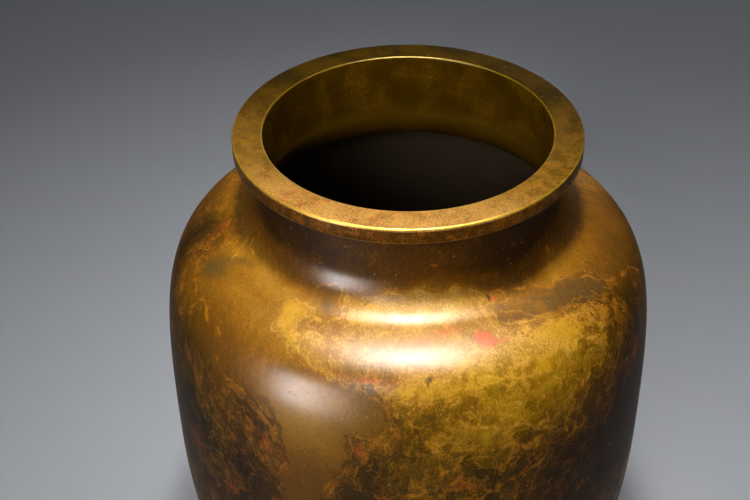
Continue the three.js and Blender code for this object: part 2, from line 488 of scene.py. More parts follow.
# The patina as it lies on the outside, with painted light and shade in some rows. Each row is a
# strength, then azimuth, arc, half width, half drop and turn of an oval. Tone goes from 0, almost
# black, through olive and golden brown, to 1, pale gold.
TONE = [
    (0.31, -53, 49, 52, 34), (0.14, 74, 46, 40, 24), (0.29, 0, 42, 84, 30), (0.16, 46, 42, 44, 16),
    # (0.26, 4, 32), (0.18, -52, 37) and (0.16, 56, 38) are painted light along the lower edge of the
    # rim's shadow on the shoulder
    (0.28, 28, 66, 54, 28), (0.26, 4, 32, 56, 8), (0.18, -52, 37, 40, 8), (0.16, 56, 38, 44, 9),
    (0.14, -26, 72, 30, 18), (0.14, 18, 92, 40, 18), (-0.08, -48, 66, 36, 14), (-0.12, -90, 66, 30, 30),
    (0.16, -92, 42, 26, 14),
    (-0.14, -72, 102, 34, 30), (-0.12, -54, 112, 34, 26), (-0.1, -38, 118, 16, 28),
    (-0.1, -60, 140, 50, 34), (-0.1, -36, 146, 30, 26),
    (-0.08, -2, 104, 18, 20), (-0.08, 14, 104, 26, 20), (-0.12, 6, 128, 34, 22),
    (-0.08, 30, 98, 24, 16), (-0.2, 46, 110, 34, 24), (-0.22, 66, 106, 28, 32),
    (-0.2, 44, 136, 40, 30), (-0.2, 64, 142, 38, 38), (-0.16, 26, 148, 34, 28),
    (-0.1, 60, 80, 20, 10), (-0.14, -67, 53, 9, 6, -30), (-0.1, -26, 38, 8, 6),
    # (-0.22, -68, 14) and (-0.16, 62, 14) are painted shade of the rim on the sides of the neck
    (-0.22, -68, 14, 56, 18), (-0.16, 62, 14, 50, 18), (-0.06, -60, 118, 56, 44),
    (0.12, -78, 36, 24, 14), (-0.05, 70, 50, 34, 24), (-0.09, 27, 47, 20, 9), (0.05, -34, 112, 40, 30),
    (0.1, -2, 98, 20, 18), (-0.16, -33, 96, 6, 8), (-0.14, -40, 121, 10, 8), (0.1, -37, 106, 8, 10),
    (0.08, -52, 96, 26, 18), (0.2, -8, 69, 14, 7), (0.13, -6, 86, 11, 11), (0.08, -12, 82, 8, 8),
    (0.12, -12, 89, 7, 8),
    # (0.05, 0, 12) is painted light on the front of the neck
    (-0.12, -84, 54, 18, 22), (0.1, 22, 84, 44, 14), (0.05, 0, 12, 60, 16), (-0.1, 26, 44, 26, 13),
    (0.2, -112, 42, 44, 26), (0.22, 112, 44, 44, 26), (0.26, 160, 44, 56, 26), (0.24, -158, 48, 50, 26),
    (0.16, 178, 72, 60, 22), (-0.14, 140, 110, 40, 34), (-0.12, -132, 104, 40, 34),
    (0.14, -172, 128, 40, 44), (0.1, 108, 150, 40, 50), (0.12, -96, 170, 50, 40),
]
# Where the patina is smooth, above 1 wholly
CALM = [
    (2.6, -50, 52, 36, 32), (2.6, 76, 46, 36, 24), (1.2, 60, 120, 50, 40), (2.4, -28, 72, 30, 16),
    (2.4, -90, 6, 160, 34), (2.4, 0, 8, 160, 34), (2.4, 90, 6, 160, 34), (1.3, 0, 40, 84, 26),
    (1.6, 46, 42, 44, 14), (2.0, -122, 52, 40, 28), (2.0, 118, 48, 36, 26), (1.8, -168, 124, 26, 50),
    (1.4, 100, 150, 40, 60), (1.2, -120, 160, 50, 50),
]
GREY_BAND = [
    (1.0, 32, 40, 13, 7, 14), (1.0, 44, 44, 18, 8, 20), (1.0, 56, 50, 14, 9, 30),
]
GREY_FADE = [(1.7, 48, 55, 46, 22, 18)]
GREEN_PATCH = [(0.8, -67, 52, 11, 7, -30), (0.6, -64, 43, 12, 4, -25), (0.5, -27, 38, 8, 6)]
DARK_MARKS = [(1.2, 27.6, 33.6, 1.3, 3.6, -25), (0.8, 6, 62, 1.6, 5, 15)]
TONGUE = [
    (1.0, -24, 74, 28, 16), (1.0, -20, 88, 18, 22), (0.9, -21, 106, 13, 22), (0.9, -24, 124, 12, 20),
    (0.8, -12, 72, 16, 9), (0.9, -9, 77, 13, 10),
]
TONGUE_TONE = [(0.16, -22, 84, 28, 22), (-0.06, -20, 118, 24, 30)]
GOLD_BLOOM = [
    (0.8, -33, 47, 10, 8), (0.7, -25, 55, 12, 8), (0.9, -15, 53, 20, 12), (0.9, -4, 48, 24, 14),
    (0.9, 9, 46, 24, 15), (0.9, 22, 46, 20, 14), (0.8, 0, 38, 34, 8), (0.9, 22, 58, 22, 12),
    (0.9, -4, 33, 34, 7), (0.9, 16, 34, 24, 7), (0.9, 36, 57, 18, 12), (0.9, 49, 61, 16, 11),
    (0.8, 10, 64, 26, 8), (0.6, 60, 66, 10, 8), (-0.9, -24, 38, 8, 7),
    (0.9, -12, 58, 26, 9), (0.8, 3, 60, 22, 9), (0.8, 4, 30, 44, 5),
    (0.9, 162, 50, 34, 18), (0.8, -158, 54, 30, 16), (0.8, -178, 42, 30, 12), (0.7, 138, 62, 24, 12),
]
OLIVE_BLOOM = [
    (0.9, 4, 71, 16, 12), (1.0, 14, 76, 30, 18), (1.0, 30, 76, 30, 18), (0.9, 46, 72, 22, 15),
    (0.8, 2, 100, 22, 22), (0.8, 18, 98, 24, 22), (0.7, 34, 92, 20, 14), (0.6, 12, 122, 34, 20),
    (0.7, -56, 100, 20, 14), (0.7, -48, 112, 18, 14), (0.6, -66, 92, 14, 12), (0.5, -50, 132, 26, 18),
    (0.9, 172, 78, 40, 20), (0.8, 148, 88, 30, 22), (0.8, -156, 84, 34, 20), (0.7, -136, 112, 30, 24),
]
YELLOW_BLOOM = [
    (1.0, -34, 46, 7, 7), (0.7, -31, 54, 6, 5), (1.0, 40, 57, 14, 7, 20), (0.7, 32, 66, 14, 7),
    (0.7, 0, 66, 14, 5), (0.5, 12, 68, 12, 5),
]
VERMILION = [
    (1.2, 20.5, 48, 7, 5, 32), (0.8, 24, 51, 6, 3.5, 38), (0.9, 29.4, 35, 2, 4.5, -30),
]
BLUSH = [
    (0.8, 10, 44, 13, 5, -10), (0.8, 2, 48, 10, 4), (0.8, -8, 62, 18, 3, 4), (0.7, 26, 52, 9, 4, 30),
    (0.9, -32, 99, 3, 8, 12), (0.9, -43, 139, 8, 5), (0.7, -27, 104, 3, 9, -25),
    (0.7, -11, 92, 3, 9, 25), (0.6, 12, 110, 8, 4), (0.6, 62, 92, 24, 6, -30), (0.6, 3, 32, 8, 3),
    (0.7, -84, 44, 10, 5, 20),
    (0.8, 168, 58, 12, 5, 12), (0.7, -146, 96, 4, 12, 20), (0.6, 134, 122, 10, 5),
]
ORANGE_VEINS = [
    ((36, 32), (44, 34), (52, 41), (58, 46), (63, 54), (68, 61), (75, 63), (80, 74)),
    ((-72, 36), (-67, 40), (-64, 46)), ((-88, 40), (-81, 45), (-78, 54), (-80, 62)),
    ((-70, 34), (-66, 37), (-61, 38)), ((-71, 60), (-65, 64), (-60, 63), (-54, 68)),
    ((-48, 79), (-40, 80), (-34, 86), (-29, 92), (-25, 99)),
    ((-38, 92), (-33, 97), (-31, 104), (-32, 112), (-28, 108)),
    ((-3, 80), (-6, 86), (-9, 91), (-11, 99), (-14, 108), (-18, 118)),
    ((-47, 112), (-42, 109), (-37, 113), (-35, 120), (-38, 128)),
    ((16, 98), (26, 92), (36, 84), (46, 80)), ((8, 74), (12, 82), (20, 84), (27, 90), (34, 88)),
    ((20, 113), (32, 106), (44, 96), (58, 87)), ((30, 124), (42, 112), (54, 102), (66, 90)),
    ((6, 104), (13, 98), (22, 96), (28, 101)), ((-10, 118), (-2, 110), (6, 112), (12, 106)),
    ((-33, 36), (-31, 31), (-26, 29), (-21, 33), (-20, 39), (-23, 44), (-29, 45)),
]
# Wider marbled streaks on both sides of the tongue and at the lower left
SWIRLS = [
    ((-43, 82), (-36, 85), (-31, 91), (-27, 98)), ((-37, 93), (-34, 99), (-32, 105), (-33, 112)),
    ((-50, 104), (-45, 109), (-39, 108)), ((-46, 130), (-42, 136), (-41, 142)),
    ((-5, 84), (-9, 90), (-12, 98), (-15, 107), (-19, 117)), ((-62, 84), (-56, 90), (-52, 98)),
]
# Tones: the value, then its display colour
OLIVE_TONES = (
    (0.0, 26, 19, 6), (0.15, 44, 32, 2), (0.3, 70, 50, 0),
    (0.45, 106, 73, 2), (0.6, 144, 101, 4), (0.75, 178, 130, 12),
    (0.9, 206, 158, 36), (1.0, 226, 184, 80),
)
BROWN_TONES = (
    (0.0, 40, 22, 10), (0.15, 58, 34, 6), (0.3, 84, 52, 2),
    (0.45, 122, 76, 8), (0.6, 156, 103, 16), (0.75, 186, 134, 42),
    (0.9, 210, 162, 82), (1.0, 226, 190, 126),
)
ORANGE_TONES = (
    (0.0, 52, 25, 6), (0.3, 124, 70, 8), (0.6, 184, 116, 16),
    (0.9, 226, 164, 56),
)
# Areas of the outside, as ovals without a strength: what the camera sees, and where the outlines
# are faint
FRONT = (0, 80, 176, 130)
FAINT_LINED = [(-66, 112, 44, 44), (-2, 100, 20, 22)]
VEIN_WIDTH = 1.1
SWIRL_WIDTH = 2.6
# Smooth steps in a pattern or a field: from where it counts to where it counts wholly, then the
# shares at both where they aren't 0 and 1
EDGES = {
    "specks": (0.54, 0.66),
    "unrest": (0.15, 0.75, 1.0, 0.24),
    "grey fade": (0.1, 0.8),
    "grey": (0.1, 0.3),
    "bloom": (0.12, 0.5),
    "tongue": (0.2, 0.4),
    "curl": (0.49, 0.51),
    "inner curl": (0.6, 0.615),
    "away": (0.04, 0.22, 1.0, 0.0),
    "brown isles": (0.54, 0.575),
    "dark isles": (0.42, 0.47, 1.0, 0.0),
    "lumps": (0.47, 0.52),
    "grain by area": (0.0, 1.0, 0.65, 1.0),
    "specks by area": (0.0, 1.0, 0.1, 1.0),
    # neck: painted shade of the rim, with the darker patina under it
    "neck": (NECK_SEAM - 6 * MM, NECK_SEAM + 1 * MM),
    "olive outline": (0.4, 1.2, 1.0, 0.3),
    "tongue outline": (0.3, 0.9, 1.0, 0.0),
    "broken outlines": (0.4, 0.5, 0.25, 1.0),
    "faint outlines": (0.0, 0.5, 1.0, 0.55),
    "broken cells": (0.4, 0.5),
    "brown hue": (0.3, 0.7, 0.2, 1.0),
    "grey dapple": (0.4, 0.58, 0.8, 0.2),
    "green": (0.05, 0.6, 0.0, 0.6),
    "yellow": (0.05, 0.6),
    "yellow grain": (0.3, 0.6, 0.35, 0.75),
    "swirls": (0.1, 0.8),
    "swirl grain": (0.3, 0.6, 0.3, 0.65),
    "veins": (0.1, 0.5),
    "broken veins": (0.42, 0.58, 0.0, 0.75),
    "blush": (0.1, 0.9, 0.0, 0.5),
    "vermilion": (0.1, 0.7, 0.0, 0.9),
    "vermilion grain": (0.35, 0.6, 0.6, 1.0),
    "dark marks": (0.15, 0.6, 0.0, 0.75),
    "pits": (0.69, 0.74),
    # the rim's top is painted darker at the sides and at the back: painted shade
    "rim sides": (-72 * MM, -26 * MM, 0.0, 0.8),
    "rim back": (-50 * MM, 40 * MM, 0.0, 0.97),
    "rim flank": (HEIGHT - 1.4 * MM, HEIGHT - 0.9 * MM, 1.0, 0.0),
    "flank crinkle": (0.42, 0.62),
    "flank grain": (0.4, 0.6),
    "inner speckle": (0.5, 0.62, 0.0, 0.22),
    "speckled cloud": (0.45, 0.7),
}
# Thin lines in a pattern or a field: where each lies, its half width, and its strength where that
# isn't 1
LINES = {
    "curl": ((0.49, 0.014), (0.6, 0.014)),
    "isles": ((0.545, 0.016), (0.45, 0.012)),
    "olive": ((0.14, 0.05), (0.5, 0.04)),
    "gold": ((0.14, 0.06), (0.42, 0.05)),
    "tongue": ((0.18, 0.07),),
    "grey": ((0.06, 0.1),),
    "cells": ((0.5, 0.008),),
    "painted light under neck": ((NECK_SEAM - 2 * MM, 10 * MM, 0.5),),
}
# Weighted sums: what each pattern or area counts, and the start where it is a number
RAGGED = {"start": -0.76, "curl": 0.6, "fine": 0.8}
TORN = {"grain": 0.9}
ROUGH_EDGE = {"start": -0.85, "fine": 0.8, "grain": 0.8}
MOTTLE = {
    "start": -0.36, "cloud": 0.3, "fine": 0.14, "streaks": 0.16, "curl": 0.05, "inner_curl": 0.05,
}
TONE_WEIGHTS = {
    "gold": 0.12, "olive": 0.1, "grey": -0.08, "dark_isles": -0.06, "streaks": 0.11, "specks": 0.07,
    # neck: partly darker patina, partly painted shade of the rim
    "neck": -0.14,
}
TONGUE_START = {"start": 0.4, "cloud": 0.12}
ISLE_WEIGHTS = {"fine": 0.3}
LUMPS = {"start": -0.09, "fine": 0.14, "edges": 0.04}
COARSE = {"start": -0.18, "grain": 0.36}
HUE_WEIGHTS = {"olive": -0.8, "specks": 0.6, "brown_isles": 0.45, "calm": 0.3}
OUTER_RELIEF = {"pits": -2.2}
# The worn arrises are dimmed at the back: painted shade
ARRIS_SHADED_BACK = {"start": 1.0, "back": -0.7}
BARE_RELIEF = {"start": 0.0, "grain": 0.5, "rings": 0.7}
MIDDLE_TONE = 0.33
ISLES_DARKER = -0.1
ORANGE_LIGHTER = 0.18
# How strongly the ragged edge counts in each area, and how much a paint covers
GREY_TEAR = 1.6
TONGUE_TEAR = 0.7
GREEN_TEAR = 0.4
OUTLINE_SHARE = 0.68
PIT_SHARE = 0.5
# The arrises of the rim are worn bright
WORN_WIDTH = 0.6 * MM
WORN_CORE = 0.2
WORN_RAGGEDNESS = -0.5
LOWER_WEAR = 0.5
UNWORN_METALLIC = 0.1
WORN_METALLIC = 0.7
# The rim's olive parts and its painted shade at the sides and back lie aslant, and the dark inside, with
# the painted light under the neck, runs down in drips
RIM_SLANT = 0.14
DRIP = 8 * MM
PAINT = {
    "grey": (104, 78, 38),
    "green": (98, 80, 34),
    "yellow": (200, 146, 10),
    "blush": (198, 84, 38),
    "vermilion": (208, 88, 36),
    "dark marks": (46, 32, 20),
    "pits": (84, 54, 26),
    "flank": (88, 54, 8),
    "flank specks": (164, 96, 22),
    "worn": (196, 156, 30),
    "inner speckle": (168, 118, 34),
    # painted light on the inner wall under the neck
    "painted light under neck": (104, 76, 10),
    "floor": (196, 199, 204),
    "surround": (226, 228, 232),
}
# Layers of paint: the pattern that each follows, its step, and the colour. A colour alone is the
# ground under the layers.
BRIGHT_SPECKS = ("specks", (0.74, 0.8, 0.0, 0.5), (232, 190, 120))
RIM_FRONT = (
    (142, 94, 20),
    ("cloud", (0.38, 0.6), (210, 152, 76)),
    ("crinkle", (0.5, 0.56, 0.0, 0.4), (196, 128, 70)),
    ("grain", (0.48, 0.62, 0.0, 0.6), (224, 174, 92)),
    ("grain", (0.36, 0.46, 0.65, 0.0), (100, 60, 20)),
    ("from_vein", (0.0, 0.015, 0.5, 0.0), (216, 164, 60)),
    ("red", (0.57, 0.66, 0.0, 0.6), (172, 78, 40)),
)
# The rim's top at the sides, olive, and at the back, dark: painted shade, with the olive of the patina
# at the sides
RIM_SIDES_SHADED = ((96, 66, 0), ("crinkle", (0.44, 0.6), (134, 92, 4)))
RIM_BACK_SHADED = ((40, 27, 0), ("cloud", (0.38, 0.6), (68, 47, 0)))
RIM_SPECKS = ("specks", (0.73, 0.8, 0.0, 0.5), (196, 150, 84))
INSIDE_NEAR = ((62, 41, 0), ("cloud", (0.35, 0.7), (82, 55, 2)))
INSIDE_DEPTH = ("drips", (NECK_SEAM - 24 * MM, NECK_SEAM - 6 * MM, 0.9, 0.0), (76, 66, 54))
BARE = (
    (70, 48, 24),
    ("cloud", (0.38, 0.66), (120, 86, 42)),
    ("rings", (0.4, 0.7, 0.0, 0.35), (148, 112, 62)),
    ("grain", (0.6, 0.75, 0.0, 0.5), (44, 30, 16)),
)
FILLER = (
    (150, 114, 48),
    ("cloud", (0.42, 0.66), (74, 52, 26)),
    ("grain", (0.55, 0.75, 0.0, 0.4), (190, 152, 74)),
)


class Patina(Shader):
    """The patina on the outside, made of patterns of noise and of listed areas.
    Each area is 0 outside it and 1 inside."""

    def __init__(self, name):
        super().__init__(name)
        self.wander = self.warped(self.place, size_mm=26, reach_mm=6, detail=3)
        self.crisp = self.warped(self.wander, size_mm=5, reach_mm=2.2, detail=4)
        cloud_place = self.warped(self.drawn_out(self.place, times=2.2), size_mm=20, reach_mm=6)
        self.cloud = self.noise(cloud_place, size_mm=26, detail=5, roughness=0.6)
        curl_place = self.warped(self.drawn_out(self.wander, times=1.7), size_mm=7, reach_mm=2)
        self.curl = self.noise(curl_place, size_mm=12, detail=7, roughness=0.58)
        self.fine = self.noise(self.crisp, size_mm=6, detail=5, roughness=0.62)
        streak_place = self.drawn_out(self.wander, times=9)
        self.streaks = self.noise(streak_place, size_mm=2.4, detail=3, roughness=0.6)
        self.grain = self.noise(self.place, size_mm=0.9, detail=2, roughness=0.6)
        self.ragged = self.total(RAGGED, curl=self.curl, fine=self.fine)
        self.rough_edge = self.total(ROUGH_EDGE, fine=self.fine, grain=self.grain)

        self.calm = self.field(self.wander, CALM)
        self.unrest = self.edge(self.calm, "unrest")
        torn = self.total(TORN, self.times(self.ragged, GREY_TEAR), grain=self.centred(self.grain))
        self.grey_field = self.field(self.crisp, GREY_BAND, torn)
        self.grey_fade = self.edge(self.field(self.wander, GREY_FADE), "grey fade")
        self.grey = self.times(self.edge(self.grey_field, "grey"), self.grey_fade)
        self.gold_field = self.field(self.crisp, GOLD_BLOOM, self.ragged)
        self.gold = self.times(self.edge(self.gold_field, "bloom"), self.without(self.grey))
        self.olive_field = self.field(self.crisp, OLIVE_BLOOM, self.ragged)
        self.olive = self.edge(self.olive_field, "bloom")
        self.tongue_field = self.field(self.crisp, TONGUE, self.times(self.ragged, TONGUE_TEAR))
        self.tongue = self.edge(self.tongue_field, "tongue")
        self.granular = self.most(self.gold, self.olive)
        specks = self.edge(self.noise(self.place, size_mm=0.65, detail=1), "specks")
        self.specks = self.times(specks, self.edge(self.granular, "specks by area"))

        # Away from the front, large smooth brown islands and dark ones with crinkled edges
        self.away = self.edge(self.patch(self.place, *FRONT), "away")
        isle_place = self.drawn_out(self.crisp, times=1.4)
        self.isles = self.noise(isle_place, size_mm=38, detail=4, roughness=0.56)
        self.brown_isles = self.times(self.edge(self.isles, "brown isles"), self.away)
        self.dark_isles = self.times(self.edge(self.isles, "dark isles"), self.away)

    def tone(self):
        """The tone: soft clouds, islands with crinkled edges, streaks, lumps and grains, and the neck
        painted darker, partly patina and partly painted shade of the rim.
        """
        soft = {"cloud": self.cloud, "fine": self.fine, "streaks": self.streaks}
        curls = [self.edge(self.curl, name) for name in ("curl", "inner curl")]
        mottle = self.total(MOTTLE, **soft, curl=curls[0], inner_curl=curls[1])
        tone = self.math("MULTIPLY_ADD", mottle, self.unrest, self.field(self.wander, TONE, MIDDLE_TONE))
        tone = self.total(TONE_WEIGHTS, tone, gold=self.gold, olive=self.olive, grey=self.grey)
        smooth = self.field(self.wander, TONGUE_TONE, self.total(TONGUE_START, cloud=self.cloud))
        tone = self.over_number(self.tongue, tone, smooth)
        isle_tone = self.math("ADD", smooth, ISLES_DARKER)
        isle_tone = self.total(ISLE_WEIGHTS, isle_tone, fine=self.fine)
        tone = self.over_number(self.brown_isles, tone, isle_tone)
        streaks = self.centred(self.streaks)
        tone = self.total(TONE_WEIGHTS, tone, dark_isles=self.dark_isles, streaks=streaks)
        lumps = self.total(LUMPS, fine=self.fine, edges=self.edge(self.fine, "lumps"))
        tone = self.math("MULTIPLY_ADD", lumps, self.granular, tone)
        coarse = self.total(COARSE, grain=self.grain)
        tone = self.math("MULTIPLY_ADD", coarse, self.edge(self.granular, "grain by area"), tone)
        # The neck is painted darker: partly darker patina, partly painted shade of the rim
        neck = self.edge(self.parts(self.wander)[2], "neck")
        return self.total(TONE_WEIGHTS, tone, specks=self.specks, neck=neck)

    def outlines(self):
        """Thin orange-gold lines round the islands and the blooms, broken here and there."""
        clear = self.without(self.tongue)
        restless = self.most(self.unrest, self.gold)
        curls = self.times(self.lines(self.curl, "curl"), restless, self.without(self.brown_isles))
        isles = self.times(self.lines(self.isles, "isles"), self.away)
        olive = self.times(self.lines(self.olive_field, "olive"), self.edge(self.calm, "olive outline"))
        calm = self.edge(self.calm, "tongue outline")
        tongue = self.times(self.lines(self.tongue_field, "tongue"), calm)
        grey = self.times(self.lines(self.grey_field, "grey"), self.grey_fade)
        lines = self.most(curls, olive, self.lines(self.gold_field, "gold"), tongue, grey, isles)
        broken = self.edge(self.fine, "broken outlines")
        faint = self.most(*(self.patch(self.place, *oval) for oval in FAINT_LINED))
        lines = self.times(lines, broken, clear, self.edge(faint, "faint outlines"))
        cells = self.lines(self.noise(self.crisp, size_mm=15), "cells")
        broken = self.edge(self.fine, "broken cells")
        return self.most(lines, self.times(cells, broken, clear, self.unrest))

    def colours(self):
        """The colours: tones of brown and olive, and what lies over them."""
        tone = self.tone()
        hue = self.edge(self.cloud, "brown hue")
        hue = self.total(HUE_WEIGHTS, hue, olive=self.olive, specks=self.specks)
        hue = self.total(HUE_WEIGHTS, hue, brown_isles=self.brown_isles, calm=self.calm)
        base = self.over(hue, self.ramp(tone, OLIVE_TONES), self.ramp(tone, BROWN_TONES))
        orange = self.ramp(self.math("ADD", tone, ORANGE_LIGHTER), ORANGE_TONES)
        base = self.over(self.times(self.outlines(), OUTLINE_SHARE), base, orange)
        grey = self.times(self.grey, self.edge(self.fine, "grey dapple"))
        base = self.paint(base, grey, "grey")
        green_edge = self.times(self.ragged, GREEN_TEAR)
        base = self.placed(base, "green", self.wander, GREEN_PATCH, green_edge)
        base = self.placed(base, "yellow", self.crisp, YELLOW_BLOOM, self.ragged)
        for name, chains, width, breaks in (
            ("swirls", SWIRLS, SWIRL_WIDTH, self.edge(self.grain, "swirl grain")),
            ("veins", ORANGE_VEINS, VEIN_WIDTH, self.edge(self.fine, "broken veins")),
        ):
            veins = self.edge(self.veins(self.crisp, chains, width), name)
            base = self.over(self.times(veins, breaks), base, orange)
        for name, ovals in (("blush", BLUSH), ("vermilion", VERMILION), ("dark marks", DARK_MARKS)):
            base = self.placed(base, name, self.crisp, ovals, self.rough_edge)
        return base

    def placed(self, base, name, place, ovals, ragged):
        """A paint in ovals with a ragged edge, in grains where EDGES has a step for those."""
        share = self.edge(self.field(place, ovals, ragged), name)
        if name + " grain" in EDGES:
            share = self.times(share, self.edge(self.grain, name + " grain"))
        return self.paint(base, share, name)


def patinated_outside():
    """The outside of the neck, the body and the foot."""
    shader = Patina("patinated_bronze")
    place = shader.place
    base = shader.colours()
    specks = shader.noise(place, size_mm=1.1, detail=1)
    base = shader.layered(base, BRIGHT_SPECKS, specks=specks)
    pits = shader.edge(shader.noise(place, size_mm=1.2, detail=1), "pits")
    base = shader.paint(base, shader.times(pits, PIT_SHARE), "pits")
    height = shader.noise(place, size_mm=0.9, detail=3, roughness=0.6)
    height = shader.total(OUTER_RELIEF, height, pits=pits)
    shader.wax(weight=0.06, roughness=0.28, haze=0.02)
    surface = {"roughness": 0.46, "pattern": shader.granular, "rougher": 0.06, "metallic": 0.05}
    return shader.finish(base, **surface, height=height, relief_mm=0.016)


def worn(shader, radius, height):
    """1 along a ring of worn metal at an arris, given by its radius and height."""
    inputs = {0: shader.from_axis(), 2: shader.parts(shader.place)[2]}
    section = shader.make("ShaderNodeCombineXYZ", inputs).outputs[0]
    distance = shader.vector("DISTANCE", section, (radius, 0.0, height), output="Value")
    ragged = shader.noise(shader.place, size_mm=2.5, detail=3, roughness=0.6)
    distance = shader.math("MULTIPLY_ADD", ragged, WORN_RAGGEDNESS * WORN_WIDTH, distance)
    return shader.step(distance, WORN_CORE * WORN_WIDTH, WORN_WIDTH, 1.0, 0.0)


def rim_patina():
    """The rim: finely granular pinkish gold, olive at the sides, with painted shade that darkens the
    sides and the back and dims the bright worn arrises at the back, and a browner flank."""
    shader = Shader("rim_bronze")
    place = shader.place
    wander = shader.warped(place, size_mm=9, reach_mm=3, detail=3)
    cloud = shader.noise(wander, size_mm=16, detail=5, roughness=0.6)
    grain = shader.noise(place, size_mm=0.6, detail=3, roughness=0.7)
    crinkle_place = shader.warped(wander, size_mm=3, reach_mm=1.5)
    crinkle = shader.noise(crinkle_place, size_mm=5, detail=6, roughness=0.62)
    red = shader.noise(wander, size_mm=11, detail=4, roughness=0.7)
    specks = shader.noise(place, size_mm=1.2, detail=1)
    from_vein = shader.math("ABSOLUTE", shader.centred(crinkle))
    patterns = {"cloud": cloud, "crinkle": crinkle, "grain": grain, "from_vein": from_vein, "red": red}
    base = shader.layered(*RIM_FRONT, **patterns)
    # The sides and back of the rim's top are painted darker: painted shade
    across, along, _ = shader.parts(wander)
    slant = shader.math("MULTIPLY_ADD", across, RIM_SLANT, along)
    sides = shader.edge(slant, "rim sides")
    back = shader.edge(slant, "rim back")
    base = shader.over(sides, base, shader.layered(*RIM_SIDES_SHADED, **patterns))
    base = shader.over(back, base, shader.layered(*RIM_BACK_SHADED, **patterns))
    base = shader.layered(base, RIM_SPECKS, specks=specks)
    rough = shader.times(shader.edge(crinkle, "flank crinkle"), shader.edge(grain, "flank grain"))
    flank = shader.paint(colour(*PAINT["flank"]), rough, "flank specks")
    base = shader.over(shader.edge(shader.parts(place)[2], "rim flank"), base, flank)
    upper = (worn(shader, radius, HEIGHT) for radius in (BORE_RADIUS, MOUTH_RADIUS))
    lower = shader.times(worn(shader, MOUTH_RADIUS, RIM_UNDERSIDE), LOWER_WEAR)
    # The worn arrises are dimmed at the back by painted shade
    arrises = shader.times(shader.most(*upper, lower), shader.total(ARRIS_SHADED_BACK, back=back))
    base = shader.paint(base, arrises, "worn")
    metallic = shader.over_number(arrises, UNWORN_METALLIC, WORN_METALLIC)
    shader.wax(weight=0.03, roughness=0.26, haze=0.02)
    surface = {"roughness": 0.26, "pattern": grain, "rougher": 0.2, "metallic": metallic}
    return shader.finish(base, **surface, height=grain, relief_mm=0.02)


def inner_patina():
    """The inside: olive-brown near the mouth, with a painted light band just under the neck, and a
    duller grey-brown in the depth.
    """
    shader = Shader("inner_bronze")
    place = shader.place
    wander = shader.warped(place, size_mm=9, reach_mm=3, detail=3)
    cloud = shader.noise(wander, size_mm=14, detail=5, roughness=0.65)
    grain = shader.noise(place, size_mm=0.8, detail=3, roughness=0.7)
    base = shader.layered(*INSIDE_NEAR, cloud=cloud)
    speckle = shader.times(shader.edge(grain, "inner speckle"), shader.edge(cloud, "speckled cloud"))
    base = shader.paint(base, speckle, "inner speckle")
    drips = shader.math("MULTIPLY_ADD", cloud, DRIP, shader.parts(place)[2])
    # A lighter band on the inner wall just under the neck: painted light, where the lamp reaches down
    # inside
    base = shader.paint(base, shader.lines(drips, "painted light under neck"), "painted light under neck")
    base = shader.layered(base, INSIDE_DEPTH, drips=drips)
    shader.wax(weight=0.0, roughness=0.3, haze=0.0)
    surface = {"roughness": 0.5, "pattern": grain, "rougher": 0.2, "metallic": 0.0}
    return shader.finish(base, **surface, height=grain, relief_mm=0.04)


def plain_bronze():
    """Bare cast bronze of the underside and the base plate, with turning rings."""
    shader = Shader("plain_bronze")
    place = shader.place
    radial = shader.make("ShaderNodeCombineXYZ", {0: shader.from_axis()}).outputs[0]
    rings = shader.noise(radial, size_mm=0.9, detail=2, roughness=0.6)
    cloud_place = shader.warped(place, size_mm=12, reach_mm=4)
    cloud = shader.noise(cloud_place, size_mm=18, detail=5, roughness=0.65)
    grain = shader.noise(place, size_mm=0.8, detail=3, roughness=0.7)
    base = shader.layered(*BARE, cloud=cloud, rings=rings, grain=grain)
    height = shader.total(BARE_RELIEF, grain=grain, rings=rings)
    surface = {"roughness": 0.38, "pattern": cloud, "rougher": 0.25, "metallic": 0.8}
    return shader.finish(base, **surface, height=height, relief_mm=0.06)


def brazing_metal():
    """The filler metal in the seams: dull yellow with dark flux stains."""
    shader = Shader("brazing_alloy")
    place = shader.place
    cloud_place = shader.warped(place, size_mm=4, reach_mm=1.5)
    cloud = shader.noise(cloud_place, size_mm=5, detail=4, roughness=0.6)
    grain = shader.noise(place, size_mm=0.5, detail=2, roughness=0.6)
    base = shader.layered(*FILLER, cloud=cloud, grain=grain)
    surface = {"roughness": 0.34, "pattern": cloud, "rougher": 0.3, "metallic": 0.8}
    return shader.finish(base, **surface, height=grain, relief_mm=0.05)


inner_metal = inner_patina()
bare_metal = plain_bronze()
filler_metal = brazing_metal()
# The metals of a turned piece, by the index of the finish
body_metals = (patinated_outside(), inner_metal, bare_metal)
rim_metals = (rim_patina(), inner_metal, bare_metal)


def tongue(half, top):
    """The three sides of a tongue or a groove in the middle of the neck's wall, from inside."""
    middle = BORE_RADIUS + WALL / 2
    inner, outer = middle - half, middle + half
    return [(inner, RIM_UNDERSIDE), (inner, top), (outer, top), (outer, RIM_UNDERSIDE)]


